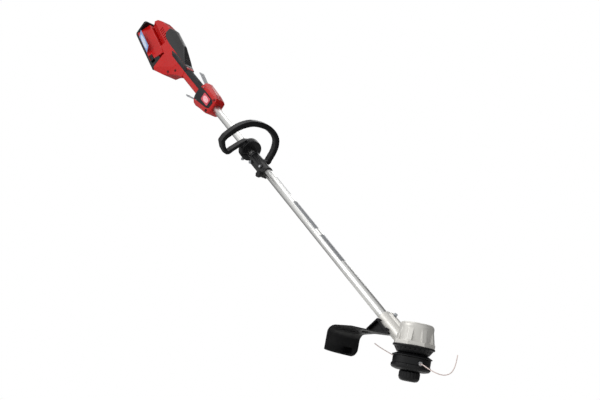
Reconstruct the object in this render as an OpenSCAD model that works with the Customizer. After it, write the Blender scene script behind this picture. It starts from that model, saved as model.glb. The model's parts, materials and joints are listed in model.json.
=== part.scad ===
// String trimmer with a battery at the operator's end, a split shaft and a bump-feed cutting head.
// Row frame: origin at the centre of the bump knob's ground face, +Z up along the head's spin axis,
// +X away from the operator, +Y to the operator's left. The shaft rises towards -X.

/* [Shaft] */
// Angle of the shaft above the ground in use
shaft_tilt = 35; // [34:0.5:36]
// Height at which the shaft axis would meet the spin axis
meet_h = 68; // [66:0.5:70]
// Outside diameter of both shaft tubes
tube_d = 25.4; // [25:0.1:26]
// Wall of both shaft tubes
tube_wall = 1.5; // [1:0.1:2]
// Distance along the shaft at which the lower tube ends inside the coupler
lower_tube_end = 838; // [800:1:860]
// Distance along the shaft at which the hub starts
hub_start = 1172; // [1168:1:1176]

/* [Front handle] */
// Distance along the shaft to the middle of the handle clamp
handle_at = 911; // [908:1:930]
// Turn of the handle about the shaft
handle_turn = 25; // [0:1:35]
// Lean of the handle loop back towards the operator
handle_lean = 15; // [0:1:18]
// Width of the loop's band along the shaft
band_w = 24; // [20:1:26]
// Outside diameter of the handle clamp
clamp_d = 66; // [62:1:68]

/* [Coupler] */
// Distance along the shaft to the coupler's lower end
coupler_start = 794; // [790:1:796]
// Length of the coupler
coupler_len = 94; // [92:1:96]
// Outside diameter of the coupler
coupler_d = 30; // [29.5:0.5:32]

/* [Battery] */
// Angle between the battery's long axis and the shaft
battery_tilt = 8.5; // [8:0.5:9]
// Length of the battery
battery_len = 196; // [188:1:198]
// Width of the battery
battery_w = 90; // [88:1:94]
// Height of the battery up to its flat top
battery_h = 60; // [58:1:62]
// Half-width of the battery's flat top
battery_top_half = 22; // [20:1:24]

/* [Levers] */
// Length of each lever from its pivot to its tip
lever_len = 92; // [88:1:100]
// Width of each lever
lever_w = 15; // [12:1:18]

/* [Motor head] */
// Height of the motor housing's lower rim
rim_z = 82; // [80:0.5:84]
// Width of the motor housing across its flats
rim_w = 94; // [92:1:100]
// Height of the top of the motor housing
motor_top_z = 136; // [134:0.5:138]
// Outside diameter of the cast neck round the shaft
neck_d = 35; // [33:0.5:36]

/* [Cutting head] */
// Diameter of the dust flange above the spool housing
flange_d = 96; // [92:1:98]
// Diameter of the spool housing's wall
spool_wall_d = 90; // [88:1:92]
// Diameter of the cap that closes the spool housing
cap_d = 94; // [92:1:96]
// Diameter of the bump knob
knob_d = 50; // [46:1:51]
// Travel of the bump knob
bump_travel = 6; // [4:0.5:6]
// Diameter of the trimmer line
line_d = 2.4; // [2:0.1:2.7]
// Azimuth of the eyelet that the first line leaves by
eyelet_az = -22.5; // [-40:0.5:0]

/* [Guard] */
// Radius of the guard's skirt
skirt_r = 206; // [200:1:212]
// Azimuth at which the skirt starts
skirt_from = 172; // [168:1:176]
// Arc that the skirt covers
skirt_arc = 50; // [40:1:60]
// Height of the skirt's lower edge
skirt_z = 38; // [34:1:42]
// Thickness of the guard's walls
guard_t = 3; // [2.5:0.5:4]

/* [Hidden] */
$fn = 64;

red = "#c5161d";
black = "#17181a";
charcoal = "#3a3b3e";
silver = "#c9cbcc";
steel = "#8f9296";

tube_r = tube_d / 2;
bore_r = tube_r - tube_wall;
socket_r = tube_r + 0.05;
lower_tube_start = 58;
upper_tube_start = lower_tube_end + 4;
upper_tube_end = hub_start + 53;
hub_end = hub_start + 110;
grip_end = hub_end + 142;
grip_half_w = 16;
wall = 3;

// Places children in the shaft's frame: x is up from the shaft, y the operator's left, z rearwards
module on_shaft(t = 0)
    translate([0, 0, meet_h]) rotate([0, shaft_tilt - 90, 0]) translate([0, 0, t]) children();

// Places children in the battery's frame: x is up, z rearwards along the battery's long axis
battery_t = hub_end + 298;
battery_n = -72;
module on_battery()
    on_shaft() translate([battery_n, 0, battery_t]) rotate([0, battery_tilt, 0]) children();

// A point of the battery's frame in the shaft's side plane, as [distance along the shaft, height]
function from_battery(x, z) = [
    battery_t + z * cos(battery_tilt) - x * sin(battery_tilt),
    battery_n + z * sin(battery_tilt) + x * cos(battery_tilt)];

// Extrudes an outline of [distance along the shaft, height] points sideways to a total width w
module side_plate(points, w)
    on_shaft() rotate([90, 0, 0]) linear_extrude(w, center = true)
        polygon([for (p = points) [p[1], p[0]]]);

// A rectangle from [x0, y0] to [x1, y1] with corner radius r
function round_rect(x0, y0, x1, y1, r, steps = 8) = [
    for (c = [[x1 - r, y1 - r, 0], [x0 + r, y1 - r, 90], [x0 + r, y0 + r, 180], [x1 - r, y0 + r, 270]])
        for (i = [0:steps]) [c[0] + r * cos(c[2] + 90 * i / steps), c[1] + r * sin(c[2] + 90 * i / steps)]];

// Tube swept along route points, with rings that stay square to the route
function unit(v) = v / norm(v);
function tangent(p, i) = unit(p[min(i + 1, len(p) - 1)] - p[max(i - 1, 0)]);
module sweep(p, d, sides) {
    rings = [for (i = [0:len(p) - 1])
        let (t = tangent(p, i), a = unit(cross(t, [0.31, 0.27, 0.91])), b = cross(t, a))
        for (k = [0:sides - 1]) p[i] + d / 2 * (cos(360 * k / sides) * a + sin(360 * k / sides) * b)];
    n = len(p);
    faces = concat(
        [[for (k = [0:sides - 1]) k]],
        [[for (k = [sides - 1:-1:0]) (n - 1) * sides + k]],
        [for (i = [0:n - 2]) for (k = [0:sides - 1])
            [i * sides + k, (i + 1) * sides + k, (i + 1) * sides + (k + 1) % sides, i * sides + (k + 1) % sides]]);
    polyhedron(points = rings, faces = faces, convexity = 6);
}

// Point on a smooth curve through four neighbours
function spline(a, b, c, d, u) = 0.5 * ((2 * b) + (c - a) * u + (2 * a - 5 * b + 4 * c - d) * u * u
    + (3 * b - a - 3 * c + d) * u * u * u);
function smooth(p, steps) = concat([for (i = [0:len(p) - 2]) for (k = [0:steps - 1])
    spline(p[max(i - 1, 0)], p[i], p[i + 1], p[min(i + 2, len(p) - 1)], k / steps)], [p[len(p) - 1]]);

// Coil spring along z with its first turn at z = 0
module coil(r, wire, pitch, turns)
    sweep([for (i = [0:turns * 12]) [r * cos(30 * i), r * sin(30 * i), pitch * i / 12]], wire, 6);

// ---- Handle and rear housing -------------------------------------------------------------------

// Side outline of the whole rear housing, cover included
roof_end = 176;
housing_side = [
    [grip_end - 8, 16], [grip_end - 8, -20], [grip_end + 5, -21], [grip_end + 40, -36], [grip_end + 64, -52],
    [grip_end + 80, -62], [grip_end + 112, -70], [grip_end + 140, -76], from_battery(0, -0.5),
    from_battery(battery_h + 1, -0.5), from_battery(battery_h + 1, roof_end), from_battery(84, roof_end),
    from_battery(98, roof_end - 10), from_battery(110, roof_end - 36), [grip_end + 222, 62],
    [grip_end + 180, 69], [grip_end + 130, 67], [grip_end + 90, 55], [grip_end + 45, 34], [grip_end + 15, 21]];

// Parts of the housing above this line belong to the top cover
cover_line = [[grip_end - 9, 17], [grip_end + 35, 20], [grip_end + 80, 22], [grip_end + 130, 24],
    [grip_end + 165, 25], [grip_end + 205, 31], [grip_end + 219, 42], [grip_end + 216, 90], [grip_end - 9, 90]];

// House-shaped section of the battery and housing, narrowed by inset d
house_half = [[-8, 30], [12, battery_w / 2], [battery_h, battery_top_half + 3], [84, 21], [99, 19], [118, 15],
    [136, 6]];
function house(d) = concat([for (p = house_half) [p[0] - d * p[0] / 130, p[1] - d]],
    [for (i = [len(house_half) - 1:-1:0]) [house_half[i][0] * (1 - d / 130), -house_half[i][1] + d]]);

// Plan outline, narrow at the grip and full width at the battery
plan_half = [[-10, grip_half_w], [20, grip_half_w + 1], [50, 20], [88, 31], [122, 43], [140, 46], [400, 46]];
function plan(d) = concat([for (p = plan_half) [grip_end + p[0], p[1] - d]],
    [for (i = [len(plan_half) - 1:-1:0]) [grip_end + plan_half[i][0], -plan_half[i][1] + d]]);

module housing_block(d) intersection() {
    side_plate(housing_side, 100);
    on_battery() translate([0, 0, -160]) linear_extrude(400) polygon(house(d));
    on_shaft() rotate([0, 90, 0]) rotate([0, 0, 180]) translate([0, 0, -100]) linear_extrude(220)
        polygon(plan(d));
}

// Room for the controller inside the housing
module controller_room() side_plate([[grip_end + 72, -52], [grip_end + 96, -66], from_battery(8, -5),
    from_battery(62, -5), [grip_end + 128, -13], [grip_end + 72, -21]], 42);

// Side outline, as [along the battery, above its foot], of the cheek at each side of its front end
cheek = [[-31, -6], [-31, 3], [-1, 54], [15, 54], [15, -6]];
module beside_battery(points, from_y) on_battery() for (s = [-1, 1]) translate([0, s * (from_y + 30), 0])
    rotate([90, 0, 0]) linear_extrude(60, center = true) polygon([for (p = points) [p[1], p[0]]]);

// Rubber inlay on both sides of the housing, a depth deep
inlay_outline = [[grip_end - 8, 2], [grip_end + 40, 4], [grip_end + 104, 6], [grip_end + 122, 17],
    [grip_end + 84, 21.5], [grip_end + 35, 19.5], [grip_end - 8, 16.5]];
module inlay(depth) difference() {
    intersection() { housing_block(0); side_plate(inlay_outline, 100); }
    housing_block(depth);
}

vent_count = 6;
module housing_shell() color(red) difference() {
    housing_block(0);
    side_plate(cover_line, 120);
    controller_room();
    inlay(2.5);
    beside_battery(cheek, 27);
    on_battery() for (s = [-1, 1]) translate([0, 0, 44]) linear_extrude(160)
        polygon([[58, s * 9], [58, s * 60], [83, s * 60], [83, s * 20]]);
    on_shaft(grip_end - 12) cylinder(r = 7, h = 90);
    on_battery() translate([28, 0, -4]) cube([26.6, 50.6, 12], center = true);
    for (i = [0:vent_count - 1]) on_battery() for (s = [-1, 1]) translate([94, 18 * s, 52 + 12 * i])
        cube([16, 9, 4], center = true);
}

module half(side) intersection() {
    children();
    on_shaft(1500) translate([0, side * 100, 0]) cube([400, 200, 900], center = true);
}

module housing_right() half(-1) housing_shell();
module housing_left() half(1) housing_shell();

module top_cover() color(black) difference() {
    intersection() { housing_block(0); side_plate(cover_line, 120); }
    side_plate([[grip_end + 75, 28], [grip_end + 190, 33], [grip_end + 190, 50], [grip_end + 100, 46]], 20);
}

// Hub outline from the side and from above
hub_side = [[hub_end, -42], [hub_end, 35], [hub_end - 12, 40], [hub_start + 30, 35], [hub_start + 8, 29],
    [hub_start + 2, 24], [hub_start, 17], [hub_start, -17], [hub_start + 4, -24], [hub_start + 14, -30],
    [hub_start + 60, -37], [hub_end - 10, -46]];
hub_plan_half = [[0, 17], [8, 21.5], [20, 25], [112, 25]];
function hub_plan(d) = concat([for (p = hub_plan_half) [hub_start + p[0], p[1] - d]],
    [for (i = [len(hub_plan_half) - 1:-1:0]) [hub_start + hub_plan_half[i][0], -hub_plan_half[i][1] + d]]);
hub_half = [[-46, 8], [-41, 14], [-32, 20], [-20, 24], [-6, 25], [8, 24.5], [18, 21.5], [29, 15.5], [36, 9.5],
    [40, 5]];
function hub_section(d) = concat([for (p = hub_half) [p[0], p[1] - d]],
    [for (i = [len(hub_half) - 1:-1:0]) [hub_half[i][0], -hub_half[i][1] + d]]);
panel_outline = [[hub_end + 1, -29], [hub_end + 1, 17], [hub_end - 32, 19], [hub_start + 16, 17.5],
    [hub_start + 8, 12], [hub_start + 9, -9], [hub_start + 20, -15]];

module hub_block(d) intersection() {
    side_plate(hub_side, 60);
    on_shaft() rotate([0, 90, 0]) rotate([0, 0, 180]) translate([0, 0, -60]) linear_extrude(120)
        polygon(hub_plan(d));
    on_shaft(hub_start - 1) linear_extrude(hub_end - hub_start + 2) polygon(hub_section(d));
}

// Places children at each hub or grip screw, with +z pointing out of the right side
screw_places = [[hub_start + 11, 21.5, 17], [hub_start + 15, -22, 18], [grip_end + 40, -20, 23],
    [grip_end + 66, -42, 30]];
module at_screws() for (p = screw_places) on_shaft(p[0]) translate([p[1], 0, 0]) rotate([90, 0, 0])
    children();

lockout_pivot = [hub_end - 16, 23];
trigger_pivot = [hub_end - 16, -26];
module at_pivot(p) on_shaft(p[0]) translate([p[1], 0, 0]) children();

module grip_section() polygon(round_rect(-20, -grip_half_w, 16, grip_half_w, 13));
module rubber_section() difference() {
    grip_section();
    polygon(round_rect(-18, -grip_half_w + 2.5, 13.5, grip_half_w - 2.5, 11));
    translate([-60, -30]) square([62, 60]);
}

module handle_shell() color(red) difference() {
    union() {
        hub_block(0);
        on_shaft(hub_end - 1) linear_extrude(grip_end - hub_end - 7.5) difference() {
            grip_section();
            rubber_section();
        }
    }
    on_shaft(hub_start - 1) cylinder(r = socket_r, h = upper_tube_end - hub_start + 1.5);
    side_plate([[hub_start + 52, -27], [hub_start + 52, 22], [hub_end - 3, 22], [hub_end - 3, -28]], 32);
    side_plate([[hub_end - 32, -36], [hub_end - 32, 30], [hub_end - 3, 30], [hub_end - 3, -36]], lever_w + 1.5);
    on_shaft(hub_start + 40) cylinder(r = 8, h = 40);
    side_plate([[hub_end - 5, 16.3], [hub_end - 5, 33], [hub_end + 2, 33], [hub_end + 2, 16.3]], lever_w + 1.5);
    side_plate([[hub_end - 5, -38], [hub_end - 5, -20.3], [hub_end + 2, -20.3], [hub_end + 2, -38]], lever_w + 1.5);
    on_shaft(hub_end - 10) cylinder(r = 7, h = grip_end - hub_end + 20);
    for (p = [lockout_pivot, trigger_pivot]) at_pivot(p) rotate([90, 0, 0]) {
        cylinder(r = 2, h = 44, center = true);
        cylinder(r = 4.3, h = 33, center = true);
    }
    hub_recess(2.5);
}

// Layer on each side of the hub, a depth deep, that its dark panels fill
module hub_recess(depth) difference() {
    intersection() { hub_block(0); side_plate(panel_outline, 60); }
    hub_block(depth);
}

module handle_right() half(-1) handle_shell();
module handle_left() half(1) handle_shell();

module rubber_grip() color(charcoal) {
    on_shaft(hub_end) linear_extrude(grip_end - hub_end - 8.5) rubber_section();
    inlay(2.5);
}

module hub_panels() color(charcoal) difference() {
    hub_recess(2.5);
    for (p = [lockout_pivot, trigger_pivot])
        at_pivot(p) rotate([90, 0, 0]) cylinder(r = 2.1, h = 80, center = true);
}

badge_at = [hub_start + 44, 3];
module badges() color("#d8455a") for (s = [-1, 1])
    on_shaft(badge_at[0]) translate([badge_at[1], s * 25.6, 0])
        rotate([90, 0, 0]) linear_extrude(1, center = true) polygon(round_rect(-12, -24, 13, 24, 4));

module handle_screws() color(steel) at_screws() for (s = [-1, 1]) {
    cylinder(r = 1.8, h = 24, center = true);
}

module controller_board() {
    color("#1d6b3a") side_plate([[grip_end + 76, -50], [grip_end + 110, -60], [grip_end + 122, -17],
        [grip_end + 76, -24]], 1.6);
    color(silver) on_shaft(grip_end + 96) translate([-24, 6, 0]) for (i = [0:2])
        translate([-18 + 9 * i, 0, 0]) cube([2, 10.4, 22], center = true);
}

module tool_terminals() on_battery() {
    color(black) translate([28, 0, -5]) cube([26, 50, 8], center = true);
    color("#b98d3c") for (y = [-14, 0, 14]) translate([20, y, 5]) cube([12, 1, 12], center = true);
}

module switch_block() color(black) on_shaft(hub_start + 68) translate([-6, 0, 0])
    cube([20, 16, 20], center = true);

// Lever in its own plane: x along the lever from the pivot, z away from the grip
lockout_rise = 11;
trigger_drop = 16;
module lever() {
    difference() {
        union() {
            rotate([90, 0, 0]) cylinder(r = 5, h = lever_w, center = true);
            rotate([90, 0, 0]) linear_extrude(lever_w, center = true)
                polygon([[0, -3], [20, -2.4], [lever_len - 14, -2.6], [lever_len - 6, -1], [lever_len - 3, 2.4],
                    [lever_len - 5, 3.6], [lever_len - 14, 2.4], [20, 2.4], [0, 3.4]]);
        }
        rotate([90, 0, 0]) cylinder(r = 2.05, h = lever_w + 2, center = true);
    }
}
module lockout_lever() color(silver) at_pivot(lockout_pivot) rotate([0, -90, 0]) rotate([0, lockout_rise, 0]) lever();
module trigger() color(silver) at_pivot(trigger_pivot) rotate([0, -90, 0]) rotate([0, -trigger_drop, 0])
    mirror([0, 0, 1]) lever();

module lever_pins() color(steel) for (p = [lockout_pivot, trigger_pivot])
    at_pivot(p) rotate([90, 0, 0]) cylinder(r = 2, h = 44, center = true);

module lever_spring(p) color(steel) at_pivot(p) rotate([90, 0, 0]) translate([0, 0, lever_w / 2 + 1.5])
    coil(3.4, 1, 1.5, 4);
module trigger_spring() lever_spring(trigger_pivot);
module lockout_spring() lever_spring(lockout_pivot);

// ---- Battery -----------------------------------------------------------------------------------

battery_end_t = 10;
shell_foot = 10;
latch_x = 17.5;
function battery_section(d) = [
    [shell_foot + 0.01, battery_w / 2 - 1 - d], [battery_h - d, battery_top_half - d * 0.6],
    [battery_h - d, -battery_top_half + d * 0.6], [shell_foot + 0.01, -battery_w / 2 + 1 + d]];

module battery_base() color(black) on_battery() difference() {
    union() {
        linear_extrude(battery_len - battery_end_t) polygon([[0, 40], [4, 45], [shell_foot, 45],
            [shell_foot, -45], [4, -45], [0, -40]]);
        translate([0, 0, battery_len - battery_end_t]) linear_extrude(battery_end_t)
            polygon(round_rect(0, -43, battery_h + 3, 43, 9));
        for (s = [-1, 1]) intersection() {
            translate([0, 0, -28]) linear_extrude(40) polygon([[1, s * 28.3], [1, s * 42], [5, s * 44],
                [shell_foot, s * 44], [battery_h - 18, s * 30], [battery_h - 18, s * 28.3]]);
            translate([0, s * 40, 0]) rotate([90, 0, 0]) linear_extrude(40, center = true)
                polygon([[0, -29], [3.5, -28.8], [50, -0.4], [50, 13], [0, 13]]);
        }
        linear_extrude(14) intersection() {
            polygon(battery_section(0));
            translate([shell_foot - 1, -50]) square([26, 100]);
        }
    }
    for (y = [-14, 0, 14]) translate([20, y, 6]) cube([16, 2, 14], center = true);
    for (s = [-1, 1]) translate([latch_x, s * 43.7, 7]) cube([12.2, 36, 20], center = true);
}

module battery_shell() color(red) on_battery() difference() {
    translate([0, 0, 14]) linear_extrude(battery_len - battery_end_t - 14) polygon(battery_section(0));
    translate([0, 0, 17]) linear_extrude(battery_len - battery_end_t - 20) polygon(battery_section(2.5));
    for (s = [-1, 1]) translate([latch_x, s * 43.7, 20]) cube([12.2, 36, 40.6], center = true);
}

cell_d = 18;
module battery_cells() color("#3c7f94") on_battery() for (k = [0:1]) for (c = [[20.5, -18.5], [20.5, 0], [20.5, 18.5],
    [38.6, -9.2], [38.6, 9.2]]) translate([c[0], c[1], 42 + 67 * k]) cylinder(d = cell_d, h = 65);

side_slope = atan2(battery_w / 2 - 1 - battery_top_half, battery_h - shell_foot);
module battery_labels() color("#7f9fd0") on_battery() for (s = [-1, 1])
    translate([shell_foot, s * (battery_w / 2 - 1), 0]) rotate([0, 0, s * side_slope])
        translate([18, s * 0.25, 108]) cube([29, 0.5, 100], center = true);

module latch(s) color(red) on_battery() translate([latch_x, s * 35, 24]) difference() {
    cube([11.6, 12, 28], center = true);
    for (i = [-2:2]) translate([0, s * 6.2, 4.5 * i]) cube([13, 2, 1.6], center = true);
}
module latch_right() latch(-1);
module latch_left() latch(1);

// ---- Shaft, coupler and front handle -----------------------------------------------------------

module upper_tube() color(silver) on_shaft(upper_tube_start) difference() {
    cylinder(r = tube_r, h = upper_tube_end - upper_tube_start);
    translate([0, 0, -1]) cylinder(r = bore_r, h = upper_tube_end - upper_tube_start + 2);
}

module upper_cable() color(black) on_shaft(upper_tube_start + 30) cylinder(r = 4, h = hub_start + 52 - upper_tube_start - 30);

plug_r = 8;
module connector_socket() color(black) on_shaft(upper_tube_start) difference() {
    cylinder(r = bore_r - 0.05, h = 30);
    translate([0, 0, -1]) cylinder(r = plug_r, h = 15);
    for (a = [0:120:240]) rotate(a) translate([4.5, 0, 10]) cylinder(r = 1.2, h = 12);
}
module contact_pins() color("#b98d3c") on_shaft(upper_tube_start) for (a = [0:120:240]) rotate(a)
    translate([4.5, 0, 4]) cylinder(r = 1.2, h = 18);

ear_n = -17;
knob_t = coupler_start + 7;
knob_seat = 14.6;
screw_t = coupler_start + 78;
module coupler() color(black) difference() {
    on_shaft(coupler_start) union() {
        cylinder(d = coupler_d, h = coupler_len);
        cylinder(d = coupler_d + 2, h = 6);
        translate([0, 0, coupler_len - 6]) cylinder(d = coupler_d + 2, h = 6);
        translate([-16, 0, 43]) cube([10, 18, 86], center = true);
        translate([ear_n, 0, knob_t - coupler_start]) rotate([90, 0, 0]) cylinder(r = 5.5, h = knob_seat - 0.3);
        translate([2, 0, 22]) rotate([90, 0, 0]) cylinder(r = 7, h = 19);
    }
    on_shaft(coupler_start - 1) cylinder(r = socket_r, h = coupler_len + 2);
    on_shaft(coupler_start + 50) translate([-26, 0, 0]) cube([40, 2.4, 110], center = true);
    for (t = [knob_t, screw_t])
        on_shaft(t) translate([ear_n, 0, 0]) rotate([90, 0, 0]) cylinder(r = 3.05, h = 50, center = true);
    on_shaft(coupler_start + 22) translate([2, -15, 0]) rotate([90, 0, 0]) cylinder(r = 4.05, h = 20, center = true);
}

module coupler_screws() color(steel) on_shaft(screw_t) translate([ear_n, 0, 0]) rotate([90, 0, 0]) {
    cylinder(r = 3, h = 26, center = true);
    translate([0, 0, 9.1]) cylinder(d = 10, h = 5.5);
    translate([0, 0, -14.2]) cylinder(d = 11.5, h = 5, $fn = 6);
}

module clamp_knob() on_shaft(knob_t) translate([ear_n, 0, 0]) rotate([90, 0, 0]) {
    color(steel) translate([0, 0, -13]) cylinder(r = 2.98, h = knob_seat + 14);
    color(black) translate([0, 0, knob_seat]) difference() {
        cylinder(d = 19, h = 9);
        for (a = [0:45:315]) rotate(a) translate([11.6, 0, -1]) cylinder(r = 3.2, h = 13);
    }
}

module release_button() color(silver) on_shaft(coupler_start + 22) translate([2, 0, 0]) rotate([90, 0, 0])
    translate([0, 0, 16.3]) cylinder(r = 4, h = 5.2);
module release_spring() color(steel) on_shaft(coupler_start + 22) translate([2, 0, 0]) rotate([90, 0, 0])
    translate([0, 0, 13.4]) coil(2.6, 0.6, 0.8, 3);

// Frame of the handle loop: x up the loop, y to the operator's left, z towards the operator
module on_loop() on_shaft(handle_at) rotate([0, 0, -handle_turn]) rotate([0, -handle_lean, 0]) children();

// Centre line of the loop as [left, up, thickness], from the left base arm round to the right one
loop_line = [[10, -27, 12], [30, -33, 12], [54, -37, 13], [61, -28, 13], [71, -12, 13], [79, 6, 14],
    [82, 28, 14], [75, 47, 15], [60, 64, 16], [42, 76, 17], [20, 84, 17], [-2, 88, 17], [-24, 86, 17],
    [-48, 79, 16], [-73, 65, 15], [-98, 43, 13], [-84, 7, 11], [-66, 14, 10], [-22, 36, 10], [-6, 30, 10]];
loop_curve = smooth(loop_line, 2);
module loop_band() for (i = [0:len(loop_curve) - 2]) hull() for (p = [loop_curve[i], loop_curve[i + 1]])
    translate([p[1], p[0], 0]) cylinder(d = p[2], h = band_w, center = true, $fn = 18);

clamp_half = 11;
clamp_split = 0.3;
clamp_off = [9, -5];
module clamp_ring(side) on_shaft(handle_at - clamp_half) rotate([0, 0, -handle_turn]) intersection() {
    translate([clamp_off[0], clamp_off[1], 0]) cylinder(d = clamp_d, h = 2 * clamp_half);
    translate([side * (50 + clamp_split), 0, clamp_half]) cube([100, 100, 40], center = true);
}
bolt_ys = [-24, 19];
module clamp_holes() on_shaft(handle_at) rotate([0, 0, -handle_turn]) for (y = bolt_ys)
    translate([0, y, 0]) rotate([0, 90, 0]) cylinder(r = 2.55, h = 80, center = true);

module front_handle() color(black) difference() {
    union() { on_loop() loop_band(); clamp_ring(1); }
    on_shaft(handle_at - 60) cylinder(r = socket_r, h = 120);
    on_shaft(handle_at) rotate([0, 0, -handle_turn]) translate([-13 - clamp_split, -3, 0])
        cube([26, clamp_d - 4, 2 * clamp_half + 14], center = true);
    clamp_holes();
}

module handle_cap() color(black) difference() {
    clamp_ring(-1);
    on_shaft(handle_at - 60) cylinder(r = socket_r, h = 120);
    clamp_holes();
}

module handle_bolts() color(steel) on_shaft(handle_at) rotate([0, 0, -handle_turn]) for (y = bolt_ys)
    translate([0, y, 0]) rotate([0, 90, 0]) {
        cylinder(r = 2.5, h = 44, center = true);
        translate([0, 0, -25]) cylinder(r = 4.2, h = 5);
    }

module lower_tube() color(silver) on_shaft(lower_tube_start) difference() {
    cylinder(r = tube_r, h = lower_tube_end - lower_tube_start);
    translate([0, 0, -1]) cylinder(r = bore_r, h = lower_tube_end - lower_tube_start + 2);
}

module lower_cable() color(black) on_shaft(lower_tube_start - 8) cylinder(r = 4, h = 818 - lower_tube_start + 8);

module connector_plug() color(black) on_shaft(lower_tube_end - 20) difference() {
    union() {
        cylinder(r = bore_r - 0.05, h = 20);
        cylinder(r = plug_r - 0.05, h = 34);
    }
    for (a = [0:120:240]) rotate(a) translate([4.5, 0, 22]) cylinder(r = 1.25, h = 20);
}

// Film labels on the lower tube: start and length along the shaft, and the angle at which each starts
label_spans = [[660, 91, -5], [492, 132, -50], [346, 116, -50]];
module shaft_labels() color("#8b8d90") for (s = label_spans) on_shaft(s[0]) rotate([0, 0, s[2]])
    rotate_extrude(angle = 80) translate([tube_r + 0.02, 0]) square([0.2, s[1]]);

// ---- Motor head --------------------------------------------------------------------------------

motor_r = 41;
room_r = 37.5;
rib_r = rim_w / 2 / cos(22.5) - 3.4;
module motor_housing() color(silver) difference() {
    union() {
        translate([0, 0, rim_z]) cylinder(r = motor_r, h = 44);
        translate([0, 0, rim_z + 44]) rotate_extrude() polygon(concat([[0, -2], [motor_r - 1, -2]],
            [for (a = [5:17:90]) [motor_r - 10 + 10 * cos(a), (motor_top_z - rim_z - 44) * sin(a)]],
            [[0, motor_top_z - rim_z - 44]]));
        translate([0, 0, rim_z]) rotate(22.5) cylinder(r = rim_w / 2 / cos(22.5), h = 9, $fn = 8);
        for (a = [22.5:45:360]) rotate(a) rotate([90, 0, 0]) linear_extrude(13, center = true)
            polygon([[39, rim_z + 1], [rib_r, rim_z + 1], [rib_r, rim_z + 9.5],
                [motor_r - 1.5, rim_z + 45], [motor_r - 7, rim_z + 51], [30, rim_z + 51], [30, rim_z + 47]]);
        on_shaft(50) cylinder(d = neck_d, h = 82);
        on_shaft(60) translate([16, 0, 30]) cube([14, 10, 60], center = true);
    }
    translate([0, 0, rim_z - 1]) cylinder(r = room_r, h = 42);
    on_shaft(lower_tube_start) cylinder(r = socket_r, h = 100);
    on_shaft(30) cylinder(r = 4.6, h = 40);
    on_shaft(107) translate([10, 0, 0]) rotate([0, 90, 0]) cylinder(r = 2.5, h = 20);
    for (a = guard_screw_places) on_shaft(a[0]) translate([-6, a[1] * 17, 0]) rotate([90, 0, 0])
        cylinder(r = 2, h = 8, center = true);
}

module neck_screw() color(steel) on_shaft(107) translate([13, 0, 0]) rotate([0, 90, 0]) {
    cylinder(r = 2.5, h = 13);
    translate([0, 0, 11]) cylinder(d = 9, h = 5);
}

module motor_base() color(black) difference() {
    union() {
        rotate_extrude() polygon([[11, 64.5], [38.5, 64.5], [47, 77.5], [50, 77.5], [50, rim_z - 0.1],
            [14, rim_z - 0.1], [14, 112], [11, 112], [11, 105], [6, 105], [6, 71.6], [11, 71.6]]);
    }
    for (a = [0:15:345]) rotate(a) translate([47, 0, 68]) rotate([0, -33, 0]) cube([5, 3, 15], center = true);
}

module bearings() color(steel) for (z = [64.5, 105]) translate([0, 0, z]) difference() {
    cylinder(r = 11, h = 7);
    translate([0, 0, -1]) cylinder(r = 4, h = 9);
    for (s = [0, 1]) translate([0, 0, -1 + 7.6 * s]) difference() {
        cylinder(r = 9, h = 1.4);
        cylinder(r = 6, h = 1.4);
    }
}

module stator() color(steel) translate([0, 0, 86]) difference() {
    cylinder(r = 30, h = 22);
    translate([0, 0, -1]) cylinder(r = 14, h = 24);
    for (a = [0:30:330]) rotate(a) translate([22.5, 0, 11]) {
        cube([12, 6, 24], center = true);
        translate([5, 0, 0]) cube([12, 1.6, 24], center = true);
    }
}
module windings() color("#a5562b") translate([0, 0, 86]) for (a = [0:30:330]) rotate(a)
    translate([22.5, 0, 11]) cube([11.6, 5.6, 26], center = true);

module rotor() color(steel) difference() {
    translate([0, 0, 84]) cylinder(r = 34.5, h = 32);
    translate([0, 0, 83]) cylinder(r = 30.8, h = 30);
    cylinder(r = 4, h = 130);
    for (a = [0:60:300]) rotate(a) translate([20, 0, 112]) cylinder(r = 6, h = 6);
}

spindle_r = 3.96;
module spindle() color(steel) {
    translate([0, 0, 44]) cylinder(r = spindle_r, h = 74);
    translate([0, 0, 45]) cylinder(r = 7.4, h = 6.8, $fn = 6);
}

// ---- Cutting head ------------------------------------------------------------------------------

flange_r = flange_d / 2;
module dust_flange() color(black) difference() {
    rotate_extrude() polygon([[4, 55.2], [flange_r - 3, 55.2], [flange_r, 56], [flange_r, 57.5],
        [flange_r - 4, 59.5], [37, 63.2], [30, 63.8], [4, 63.8]]);
    translate([0, 0, 40]) cylinder(r = 4, h = 40);
}

spool_wall_r = spool_wall_d / 2;
module spool_housing() color(black) difference() {
    union() {
        translate([0, 0, 38.2]) cylinder(r = spool_wall_r, h = 16.8);
        translate([0, 0, 34]) cylinder(r = spool_wall_r - 1.8, h = 4.4);
    }
    translate([0, 0, 33]) cylinder(r = 41, h = 19);
    cylinder(r = 4, h = 80);
    for (a = [0, 180]) rotate(eyelet_az + a) translate([36, 0, eyelet_z]) rotate([0, 90, 0])
        cylinder(r = 3.5, h = 14);
}

module spool_cap() color(black) difference() {
    rotate_extrude() polygon([[27, 24], [34, 24], [cap_d / 2 - 3, 27], [cap_d / 2, 31], [cap_d / 2, 38],
        [spool_wall_r - 1.75, 38], [spool_wall_r - 1.75, 33.5], [41, 33], [41, 29.5], [27, 27]]);
    for (a = [0:30:330]) rotate(a) translate([cap_d / 2 + 1, 0, 33]) cylinder(r = 2, h = 8);
}

eyelet_z = 43;
module eyelets() color("#d9dadb") for (a = [0, 180]) rotate(eyelet_az + a) translate([40.5, 0, eyelet_z])
    rotate([0, 90, 0]) difference() {
        union() {
            cylinder(r = 3.5, h = 5);
            translate([0, 0, spool_wall_r - 40.4]) cylinder(r = 5, h = 2.4);
        }
        translate([0, 0, -1]) cylinder(r = 1.6, h = 12);
    }

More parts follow.
